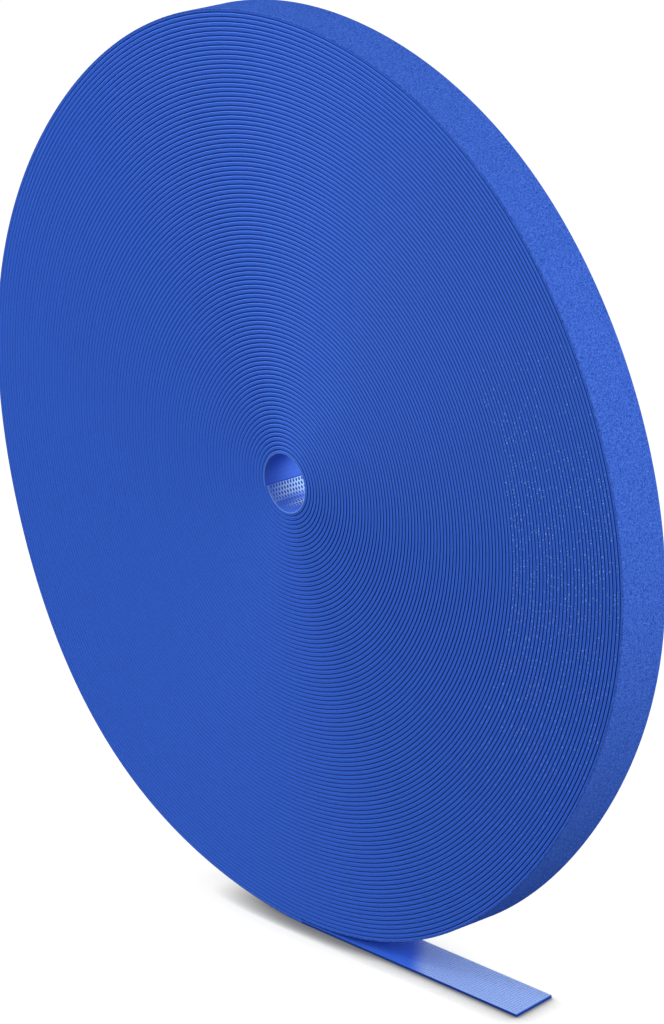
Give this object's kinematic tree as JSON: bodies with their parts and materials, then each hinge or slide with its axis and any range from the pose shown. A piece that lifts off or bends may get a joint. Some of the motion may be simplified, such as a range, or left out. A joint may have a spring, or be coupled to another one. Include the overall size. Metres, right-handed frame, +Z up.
{
  "type": "hook and loop tape roll",
  "caption": "Coreless roll of blue back-to-back hook and loop tape standing on its rim, with its free end laid out flat.",
  "frame": {"origin": "on the surface that the roll stands on, straight below its axis, at the middle of the tape's width", "axes": "+Z up, +Y along the roll's axis away from the pictured face, +X along the free end"},
  "size_m": [0.272, 0.016, 0.2726],
  "materials": {
    "wound_edge": "edges of wound tape, slightly shiny",
    "loop_face": "brushed knitted loops, matt",
    "hook_face": "rows of small nylon hooks, satin"
  },
  "bodies": {
    "roll": {"packed_turns": "wound_edge", "first_turn_hook_ply": "hook_face", "first_turn_loop_ply": "loop_face", "outer_turns_hook_ply": "hook_face", "outer_turns_loop_ply": "loop_face"},
    "tail": {"tail_hook_ply": "hook_face", "tail_loop_ply": "loop_face"},
    "inner_end": {"inner_end_hook_ply": "hook_face", "inner_end_loop_ply": "loop_face"}
  },
  "joints": [
    {"name": "tail_lift", "type": "hinge", "parent": "roll", "child": "tail", "pos_m": [0.04515, 0, 0.00085], "axis": [0, -1, 0], "range_deg": [0, 30]},
    {"name": "inner_end_lift", "type": "hinge", "parent": "roll", "child": "inner_end", "pos_m": [-0.00073, 0, 0.12825], "axis": [0, 1, 0], "range_deg": [0, 25]}
  ]
}
